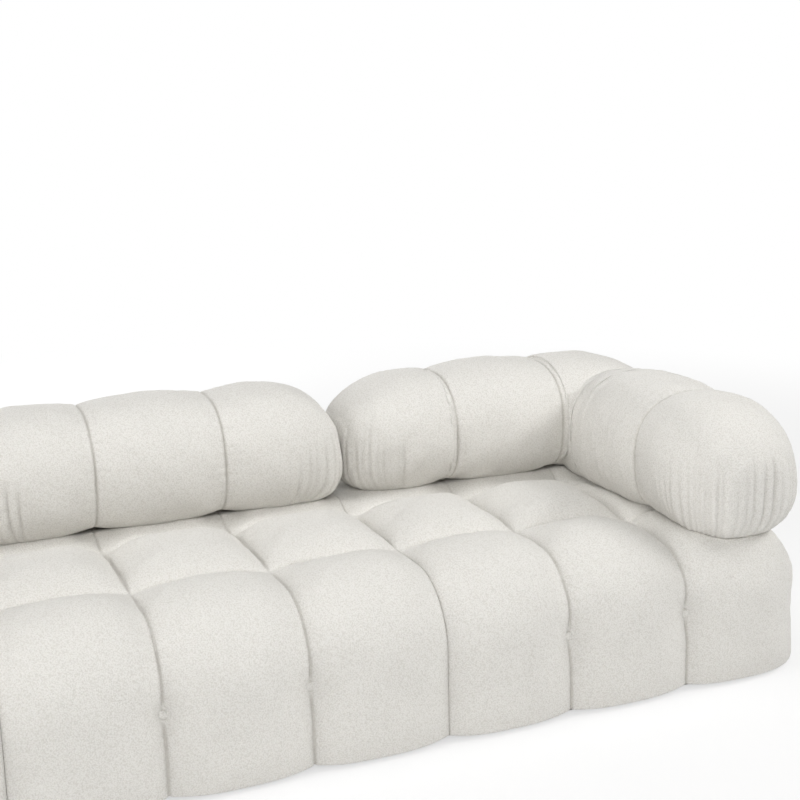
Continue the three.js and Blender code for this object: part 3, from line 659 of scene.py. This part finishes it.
def attribute_of(mesh, name):
    """A point attribute of three numbers."""
    return vectors(mesh.attributes[name].data, "vector")


def points_of(mesh):
    """The places of a mesh's points."""
    return vectors(mesh.vertices, "co")


def normals_of(mesh):
    """The way out of the surface at each point."""
    return vectors(mesh.vertex_normals, "vector")


def set_points(mesh, points):
    """Puts a mesh's points at new places."""
    mesh.vertices.foreach_set("co", points.astype(np.float32).ravel())
    mesh.update()


def applied(piece):
    """The mesh of an object with its modifiers worked out."""
    graph = bpy.context.evaluated_depsgraph_get()
    mesh = bpy.data.meshes.new_from_object(piece.evaluated_get(graph), depsgraph=graph)
    bpy.data.objects.remove(piece)
    return mesh


def subdivided(mesh):
    """A mesh with one level of subdivision."""
    piece = linked(mesh.name, mesh)
    smooth = piece.modifiers.new("subdivision", "SUBSURF")
    smooth.levels = smooth.render_levels = 1
    return applied(piece)


def combined(mesh, others, operation):
    """Cuts other closed meshes out of a closed mesh, or joins them to it."""
    piece = linked(mesh.name, mesh)
    helpers = [linked(f"{mesh.name}_tool_{i}", other) for i, other in enumerate(others)]
    for helper in helpers:
        step = piece.modifiers.new("cut", "BOOLEAN")
        step.solver = "MANIFOLD"
        step.operation = operation
        step.object = helper
    result = applied(piece)
    for helper in helpers:
        bpy.data.objects.remove(helper)
    return result


def box_mesh(low, high, gap):
    """A plain box, grown by the gap on every side."""
    low, high = np.array(low) - gap, np.array(high) + gap
    corners = np.array([[x, y, z] for x in (0, 1) for y in (0, 1) for z in (0, 1)]) * (high - low) + low
    sides = [(0, 1, 3, 2), (4, 6, 7, 5), (0, 4, 5, 1), (2, 3, 7, 6), (0, 2, 6, 4), (1, 5, 7, 3)]
    mesh = bpy.data.meshes.new("box")
    mesh.from_pydata(corners, [], sides)
    return mesh


def grown_mesh(mesh, gap):
    """A copy of a closed mesh moved out along its normals."""
    copy = mesh.copy()
    set_points(copy, points_of(mesh) + gap * normals_of(mesh))
    return copy


def welded_node(name, gap):
    """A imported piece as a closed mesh, with each flat face moved out by the gap. A corner
    point moves by the sum of its faces' different normals."""
    mesh = nodes[name].data.copy()
    mesh.transform(nodes[name].matrix_world)
    sculpt = bmesh.new()
    sculpt.from_mesh(mesh)
    bmesh.ops.remove_doubles(sculpt, verts=sculpt.verts, dist=solid_weld_reach)
    moves = []
    for vertex in sculpt.verts:
        ways = []
        for face in vertex.link_faces:
            if all(face.normal.dot(way) < same_way for way in ways):
                ways.append(face.normal.copy())
        moves.append(sum(ways[1:], ways[0]))
    for vertex, move in zip(sculpt.verts, moves):
        vertex.co += move * gap
    sculpt.to_mesh(mesh)
    sculpt.free()
    return mesh


def soft_waves(points, lengths, seed):
    """A smooth random swell of about one, a sum of plane waves of the given lengths."""
    random = np.random.default_rng(seed)
    total = np.zeros(len(points))
    for length in lengths:
        way = random.normal(size=3)
        way *= 2 * np.pi / (length * np.linalg.norm(way))
        total += np.sin(points @ way + random.uniform(0, 2 * np.pi))
    return total / math.sqrt(len(lengths))


def pucker(distance, along, seed):
    """Short folds that run away from a seam and fade out: sine waves of the place along it,
    times an exponential of the distance to it that starts from nothing on the seam."""
    random = np.random.default_rng(seed)
    wave = sum(np.sin(2 * np.pi * along / length + random.uniform(*pucker_phases))
               for length in pucker_lengths)
    return wave / 2 * np.exp(-distance / pucker_reach) * (1 - np.exp(-distance / pucker_start))


def nearest_seam(values, seams):
    """The distance from each value to the nearest seam."""
    return np.min([np.abs(values - seam) for seam in seams], axis=0)


def nearest_button(box_places, base):
    """The distance from each place to the nearest of a module's buttons."""
    distances = [np.linalg.norm(box_places - np.array(button), axis=1) for button in base.buttons]
    return np.min(distances, axis=0)


def held_cover(mesh, base):
    """Where the cover can't move: on its seams, joints, hem and buttons and under the rolls."""
    box_places = attribute_of(mesh, "box_place")
    x, y, z = box_places.T
    on_top = z > crossing_height - edge_fade
    held = nearest_seam(x, base.columns + base.joints) < held_seam
    held |= nearest_seam(y, base.rows) < held_seam
    held |= z < hem_height + held_hem
    held |= on_top & (y > back_front + held_back)
    if base.has_arm:
        held |= on_top & (x > base.columns[-1] + held_arm)
    return held | (nearest_button(box_places, base) < held_button)


def filled(pieces):
    """Blows the coarse covers out with their filling in one cloth simulation. Each starts a
    little smaller, is held where it is sewn down and moves by a few millimetres only."""
    running = []
    for mesh, held in pieces:
        start = points_of(mesh)
        piece = linked(mesh.name, mesh)
        set_points(mesh, start - fill_shrink * (~held)[:, None] * normals_of(mesh))
        pins = piece.vertex_groups.new(name="held")
        pins.add(np.flatnonzero(held).tolist(), 1.0, "REPLACE")
        cloth = piece.modifiers.new("cloth", "CLOTH")
        cloth.settings.quality = 3
        cloth.settings.mass = cloth_mass
        cloth.settings.tension_stiffness = cloth_stiffness
        cloth.settings.compression_stiffness = cloth_stiffness
        cloth.settings.shear_stiffness = cloth_shear
        cloth.settings.bending_stiffness = cloth_bending
        cloth.settings.use_pressure = True
        cloth.settings.uniform_pressure_force = fill_pressure
        cloth.settings.effector_weights.gravity = 0
        cloth.settings.vertex_group_mass = "held"
        cloth.collision_settings.use_collision = False
        cloth.point_cache.frame_start = 1
        cloth.point_cache.frame_end = fill_frames
        running.append((piece, cloth, start))
    for moment in range(1, fill_frames + 1):
        bpy.context.scene.frame_set(moment)
    graph = bpy.context.evaluated_depsgraph_get()
    for piece, cloth, start in running:
        shift = points_of(piece.evaluated_get(graph).data) - start
        length = np.linalg.norm(shift, axis=1, keepdims=True)
        shift *= fill_cap / np.maximum(length, fill_cap)
        piece.modifiers.remove(cloth)
        set_points(piece.data, start + shift)
    for piece, _, _ in running:
        bpy.data.objects.remove(piece)
    bpy.context.scene.frame_set(1)


def sewn_details(mesh, base):
    """Draws the seams in as narrow grooves, puckers the cloth beside them and lets the
    whole cover swell a little unevenly. Marks the grooves and the joints for painted shade."""
    box_places = attribute_of(mesh, "box_place")
    x, y, z = box_places.T
    to_column = nearest_seam(x, base.columns)
    to_row = nearest_seam(y, base.rows)
    to_joint = nearest_seam(x, base.joints)
    on_top = smooth_step((z - crossing_height + edge_fade) / edge_fade)
    along_column = y * on_top + z * (1 - on_top)
    along_row = x * on_top + z * (1 - on_top)
    shift = pucker_depth * (pucker(to_column, along_column, 11) + pucker(to_row, along_row, 12))
    groove = np.maximum(np.exp(-(to_column / seam_width) ** 2), np.exp(-(to_row / seam_width) ** 2))
    places = points_of(mesh)
    shift += swell_depth * soft_waves(places, swell_lengths, 13) * (1 - groove) - seam_groove * groove
    free = smooth_step((places[:, 2] - floor_clear) / edge_fade) * smooth_step(to_joint / edge_fade)
    groove *= smooth_step((nearest_button(box_places, base) - button_clear) / edge_fade)
    set_points(mesh, places + normals_of(mesh) * (shift * free)[:, None])
    # painted shade along the joints between modules, and less painted shade on the top
    at_joint = painted_joint_shade * np.exp(-(to_joint / seam_width) ** 2)
    paint_groove_shade(mesh, np.maximum(groove, at_joint) * (1 - top_painted_shade_loss * on_top))
    closed(mesh)


def paint_groove_shade(mesh, groove):
    """Keeps how deep in a groove each point lies, scaled, for the painted shade in the pile's colour."""
    layer = mesh.attributes.new("seam", "FLOAT", "POINT")
    layer.data.foreach_set("value", (painted_shade_strength * groove).astype(np.float32))


# Rolled bolsters
# Sewn rolls of the same cloth, filled with foam and wadding over a board. Seams in line
# with the seat's draw them in, their ends are gathered, and on a corner the roll of the
# back and the roll of the arm are sewn together.
roll_thickness = 0.352
roll_pinch = 0.015
roll_flat = 0.005
back_height = 0.306
arm_height = 0.328
gathered_length = 0.190
corner_end_length = 0.285
nose_length = 0.230
nose_overhang = 0.007
nose_hang = 0.016
corner_length = 0.350
arm_end_length = 0.230
arm_reach = 0.006
back_squareness = 3.1
arm_squareness = 2.8
roll_upper = 2.3
back_bluntness = (2.1, 5.0)
arm_bluntness = (1.95, 3.6)
around = 144
dome_rings = 50
tip_opening = 0.02
gather_spacing = (0.010, 0.030)
gather_count = 80
gather_strengths = (0.35, 1.0)
gather_width = 0.0045
gather_depth = 0.0052
# the folds of the gathers take painted shade as well
painted_gather_shade = 0.5
gather_top = 0.72
gather_waver = 0.10
gather_waves = (0.013, 0.031)
gather_top_fade = 0.35
gather_inner_fade = 0.06
rest_fade = 0.03
held_rest = 0.004
held_tip = 0.012
sewn_to_back = 0.240
under_floor = -0.05


def roll_points(start, end, centre_line, rest, height, lower, bluntness, seams, start_dome, end_dome,
                hang):
    """A roll along its first axis, as rings of points (along, aside, up). Its section is a
    superellipse, squarer below, drawn in at the seams, and both ends close in a dome. The
    underside of the first end hangs lower."""
    half = (height + roll_flat) / 2
    middle = rest + height - half
    angle = np.linspace(0, 2 * np.pi, around, endpoint=False)
    power = np.where(np.sin(angle) < 0, lower, roll_upper)
    reach = (np.abs(np.cos(angle)) ** power + np.abs(np.sin(angle)) ** power) ** (-1 / power)
    aside, level_share = reach * np.cos(angle), reach * np.sin(angle)
    blunt = bluntness[1] + (bluntness[0] - bluntness[1]) * (1 + level_share) / 2

    dome_turn = np.linspace(0, np.pi / 2, dome_rings)[1:, None] - tip_opening
    dome_reach = (np.sin(dome_turn) ** blunt + np.cos(dome_turn) ** blunt) ** (-1 / blunt)
    dome_along, dome_share = dome_reach * np.sin(dome_turn), dome_reach * np.cos(dome_turn)
    straight = seam_lines(start + start_dome, seams, end - end_dome)
    straight = straight[:, None] + np.zeros_like(angle)
    along = np.concatenate([(start + start_dome * (1 - dome_along))[::-1], straight,
                            end - end_dome * (1 - dome_along)])
    share = np.concatenate([dome_share[::-1], np.ones_like(straight), dome_share])
    tuft = centre.columns[1] - centre.columns[0]
    draw_in = roll_pinch * (1 - fullness(along, start, seams, end, False, False, tuft))
    width = (roll_thickness / 2 - draw_in) * share
    rise = (half - draw_in) * share
    up = np.maximum(middle + level_share * rise, rest)
    up -= hang * smooth_step((start + start_dome - along) / start_dome) * (1 - level_share) / 2
    return np.stack([along, centre_line + aside * width, up], -1)


def roll_mesh(name, along_y=False, **sizes):
    """The roll as a mesh, open at its two tips, with each point's place along it kept."""
    points = roll_points(**sizes)
    rows, columns = points.shape[:2]
    index = np.arange(rows * columns).reshape(rows, columns)
    following = np.roll(index, -1, 1)
    quads = np.stack([index[:-1], index[1:], following[1:], following[:-1]], -1).reshape(-1, 4)
    flat = points.reshape(-1, 3)
    places = flat[:, [1, 0, 2]] if along_y else flat
    mesh = bpy.data.meshes.new(name)
    mesh.from_pydata(places, [], quads if along_y else quads[:, ::-1])
    layer = mesh.attributes.new("roll_place", "FLOAT_VECTOR", "POINT")
    layer.data.foreach_set("vector", flat.astype(np.float32).ravel())
    return mesh


def gathers(inward, aside, level_share, seed):
    """Narrow folds at uneven distances round the lower part of a roll's gathered end: bell
    curves of the place round it, that fade at a wavering top line and inside the dome."""
    random = np.random.default_rng(seed)
    radius = roll_thickness / 2
    round_place = np.arctan2(aside, -inward) * radius
    spots = np.cumsum(random.uniform(*gather_spacing, gather_count)) - radius * np.pi / 2
    fold = sum(random.uniform(*gather_strengths) * np.exp(-((round_place - spot) / gather_width) ** 2)
               for spot in spots[spots < radius * np.pi / 2])
    fine_wave, slow_wave = (np.sin(round_place / length) for length in gather_waves)
    top = gather_top + gather_waver * fine_wave * slow_wave
    fold *= smooth_step((top - level_share) / gather_top_fade)
    return fold * smooth_step(-inward / gather_inner_fade)


def rolled_details(mesh, seams, domes, seed):
    """Grooves and puckers along the seams round a roll, and gathers at its free ends. Each
    dome is given by the place of its centre and the way to its tip."""
    along, aside, up = attribute_of(mesh, "roll_place").T
    distance = nearest_seam(along, seams)
    middle = (aside.min() + aside.max()) / 2
    level_share = (up - up.min()) / (up.max() - up.min())
    round_place = np.arctan2(up - up.mean(), aside - middle) * roll_thickness / 2
    groove = np.exp(-(distance / seam_width) ** 2)
    places = points_of(mesh)
    shift = pucker_depth * pucker(distance, round_place, seed) - seam_groove * groove
    shift += swell_depth * soft_waves(places, swell_lengths, seed + 1) * (1 - groove)
    folds = np.zeros(len(places))
    for number, (dome_centre, way) in enumerate(domes):
        inward = (dome_centre - along) * way
        folds += gathers(inward, aside - middle, level_share, seed + 40 + number)
    shift -= gather_depth * folds
    resting = smooth_step((places[:, 2] - places[:, 2].min()) / rest_fade)
    set_points(mesh, places + normals_of(mesh) * (shift * resting)[:, None])
    # painted shade in the seam grooves and, fainter, in the gathers' folds
    paint_groove_shade(mesh, np.maximum(groove, painted_gather_shade * np.clip(folds, 0, 1)))
    closed(mesh)


def held_roll(mesh, seams, sewn_end=held_tip):
    """Where a roll can't move: on its seams, on its flat underside and at its tips, and for
    the arm's roll also where it is sewn to the back's."""
    along, _, up = attribute_of(mesh, "roll_place").T
    held = (nearest_seam(along, seams) < held_seam) | (up < up.min() + held_rest)
    return held | (along < along.min() + held_tip) | (along > along.max() - sewn_end)


back_line = (roll_low.y + roll_high.y) / 2
corner_low, corner_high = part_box("right_corner_bolster")
arm_line = corner_high.x - roll_thickness / 2

covers = {base.name: cover_mesh(f"{base.name}_cover", base) for base in (corner, centre)}
back_sizes = {"centre_line": back_line, "rest": back_rest, "height": back_height,
              "lower": back_squareness, "bluntness": back_bluntness, "hang": 0.0}
centre_roll = roll_mesh("centre_roll", start=roll_low.x, end=roll_high.x, seams=centre.columns,
                        start_dome=gathered_length, end_dome=gathered_length, **back_sizes)
back_roll = roll_mesh("corner_back_roll", start=corner_low.x, end=corner_high.x, seams=corner.columns,
                      start_dome=corner_end_length, end_dome=corner_length, **back_sizes)
arm_roll = roll_mesh("corner_arm_roll", along_y=True, start=corner_low.y - nose_overhang,
                     end=back_line + arm_reach, centre_line=arm_line, rest=corner_low.z,
                     height=arm_height, lower=arm_squareness, bluntness=arm_bluntness,
                     seams=corner.rows, start_dome=nose_length, end_dome=arm_end_length,
                     hang=nose_hang)

# blown out by their filling
filled([(covers["right_corner"], held_cover(covers["right_corner"], corner)),
        (covers["centre"], held_cover(covers["centre"], centre)),
        (centre_roll, held_roll(centre_roll, centre.columns)),
        (back_roll, held_roll(back_roll, corner.columns)),
        (arm_roll, held_roll(arm_roll, corner.rows, sewn_end=sewn_to_back))])

# finer, sewn and joined
centre_roll, back_roll, arm_roll = (subdivided(mesh) for mesh in (centre_roll, back_roll, arm_roll))
rolled_details(centre_roll, centre.columns,
               [(roll_low.x + gathered_length, -1), (roll_high.x - gathered_length, 1)], seed=21)
rolled_details(back_roll, corner.columns, [(corner_low.x + gathered_length, -1)], seed=23)
rolled_details(arm_roll, corner.rows, [(corner_low.y + gathered_length, -1)], seed=25)
corner_roll = combined(back_roll, [arm_roll], "UNION")
rolls = {"centre": centre_roll, "right_corner": corner_roll}
finished = {}
for base in (corner, centre):
    boards = welded_node(f"{base.name}_bolster_board", pocket_gap)
    cover = subdivided(covers[base.name])
    sewn_details(cover, base)
    slab_low, slab_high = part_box(f"{base.name}_seat_slab")
    frame_low, frame_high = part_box(f"{base.name}_base_frame")
    below = (frame_low.x, frame_low.y, under_floor)
    cuts = [box_mesh(below, (frame_high.x, frame_high.y, slab_low.z), pocket_gap),
            box_mesh(slab_low, slab_high, pocket_gap), boards, grown_mesh(rolls[base.name], pocket_gap)]
    for side in ["left", "right"] if base is centre else ["right"]:
        for end in ("front", "back"):
            low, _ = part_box(f"{side}_joint_socket_{end}")
            _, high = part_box(f"{side}_joint_hook_{end}")
            cuts.append(box_mesh(low, high, pocket_gap))
    finished[f"{base.name}_base_cushion"] = combined(cover, cuts, "DIFFERENCE")
    finished[f"{base.name}_bolster"] = combined(rolls[base.name], [boards], "DIFFERENCE")

# the left corner, made for the other hand
for name, mesh in list(finished.items()):
    if name.startswith("right_corner"):
        other = mesh.copy()
        other.transform(Matrix.Scale(-1, 4, (1, 0, 0)))
        other.flip_normals()
        finished[name.replace("right", "left")] = other
for name, mesh in finished.items():
    add_piece(f"{name}_cover", mesh, looped, [name])


# Covered buttons
# Flat metal shells covered with the same cloth. Twine through the stuffing ties them down
# on the seams: two in front, two behind and two on a corner's outer side.
button_sides = 48
button_reach = (0.30, 0.80, 0.97, 1.0, 0.95, 0.80, 0.55, 0.28, 0.06)
button_rise = (0.0, 0.0, 0.12, 0.36, 0.62, 0.80, 0.93, 0.985, 1.0)


def button_points(radius, height):
    """A shallow dome over a turned-in rim, as rings at shares of the radius and height."""
    turn = np.linspace(0, 2 * np.pi, button_sides, endpoint=False)
    across = np.array(button_reach)[:, None] * radius
    rise = np.array(button_rise)[:, None] * height
    return np.stack([across * np.cos(turn), across * np.sin(turn), rise + 0 * turn], -1)


for name in [node_name for node_name in nodes if "_button_" in node_name]:
    low, high = (np.array(corner_place) for corner_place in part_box(name))
    size, middle = high - low, (low + high) / 2
    axis = int(np.argmin(size))
    outward = 1 if middle[axis] > 0 else -1
    points = button_points(max(size) / 2, size[axis])
    button = closed_surface(f"{name}_cover", points, wrap=True)
    quarter = math.pi / 2 * outward
    way = Matrix.Rotation(quarter, 4, "Y") if axis == 0 else Matrix.Rotation(-quarter, 4, "X")
    foot = middle.copy()
    foot[axis] -= outward * size[axis] / 2
    button.transform(Matrix.Translation(foot) @ way)
    paint_groove_shade(button, np.zeros(len(button.vertices)))
    add_piece(f"{name}_cover", button, looped, [name])


# Floor and light
# A white sweep under large soft lights: one overhead, one high in front, one from the left
# and two from the right, the smaller of which lays the arm's shadow on the back. A low one
# behind lights the sides that the photograph doesn't show.
floor_colour = (0.92, 0.92, 0.92, 1)
shadow_share = 0.38
shadow_reach = (2.2, 5.0)
floor_x = (-40.0, 40.0)
floor_y = (-20.0, 60.0)
floor_height = -0.0002
sky_strength = 0.08
sky_tone = (1.0, 0.965, 0.90, 1)

wide = np.stack([*np.meshgrid(floor_x, floor_y), np.full((2, 2), floor_height)], -1)
floor_mesh = closed_surface("floor", wide, wrap=False)
floor = linked("floor", floor_mesh)
white, white_shader = new_material("white_floor")
finish(white_shader, Base_Color=floor_colour, Roughness=1.0, Specular_IOR_Level=0.0)

# to the camera the floor is white, but near the sofa a share of it takes the shadow
floor_place = node(white, "TexCoord").outputs["Object"]
from_sofa = node(white, "VectorMath", {0: floor_place}, operation="LENGTH")
shown = node(white, "MapRange", {"Value": from_sofa.outputs["Value"]}, interpolation_type="SMOOTHSTEP",
             From_Min=shadow_reach[0], From_Max=shadow_reach[1], To_Min=1 - shadow_share, To_Max=1.0)
floor_path = node(white, "LightPath")
direct = {0: floor_path.outputs["Is Camera Ray"], 1: floor_path.outputs["Is Glossy Ray"]}
mirrored = node(white, "Math", direct, operation="MAXIMUM")
through = {0: mirrored.outputs[0], 1: floor_path.outputs["Is Transmission Ray"]}
seen = node(white, "Math", through, operation="MAXIMUM")
plain = node(white, "Math", {0: shown.outputs[0], 1: seen.outputs[0]}, operation="MULTIPLY")
glow = node(white, "Emission", Strength=1.0, Color=(1, 1, 1, 1))
mixed = node(white, "MixShader", {0: plain.outputs[0], 1: white_shader.outputs[0], 2: glow.outputs[0]})
join(white, mixed.outputs[0], white.node_tree.nodes["Material Output"].inputs["Surface"])
floor_mesh.materials.append(white)

# the sky is white to the camera and lights dimly
world = bpy.data.worlds.new("world")
bpy.context.scene.world = world
world.use_nodes = True
background = world.node_tree.nodes["Background"]
to_camera = node(world, "LightPath").outputs["Is Camera Ray"]
strength = node(world, "MapRange", {"Value": to_camera}, To_Min=sky_strength, To_Max=1.0)
join(world, strength.outputs[0], background.inputs["Strength"])
tone = node(world, "Mix", data_type="RGBA")
tone.inputs[6].default_value = sky_tone
tone.inputs[7].default_value = (1, 1, 1, 1)
join(world, to_camera, tone.inputs[0])
join(world, tone.outputs[2], background.inputs["Color"])


def area_light(name, place, target, size, power):
    """A soft rectangular lamp at one place that faces another."""
    light = bpy.data.lights.new(name, "AREA")
    light.shape = "RECTANGLE"
    light.size, light.size_y = size
    light.energy = power
    lamp = linked(name, light)
    facing = (Vector(target) - Vector(place)).to_track_quat("-Z", "Y")
    lamp.matrix_world = Matrix.Translation(place) @ facing.to_matrix().to_4x4()
    return lamp


lamps = [area_light("overhead", (0.4, -0.3, 3.8), (0.4, 0.0, 0.3), (3.0, 2.0), 40),
         area_light("high_front", (-0.6, -4.0, 3.0), (0.3, 0.0, 0.4), (2.5, 1.5), 93),
         area_light("left_fill", (-4.5, -0.8, 2.4), (0.6, 0.0, 0.4), (2.0, 2.0), 92),
         area_light("right_key", (4.2, -1.6, 3.0), (0.6, 0.0, 0.4), (1.2, 1.2), 60),
         area_light("arm_key", (3.6, -0.6, 2.6), (0.9, 0.2, 0.5), (0.5, 0.5), 17),
         area_light("rear_fill", (0.0, 5.0, 1.5), (0.0, 0.4, 0.4), (4.0, 1.5), 110)]

bpy.context.scene.view_settings.view_transform = "Standard"
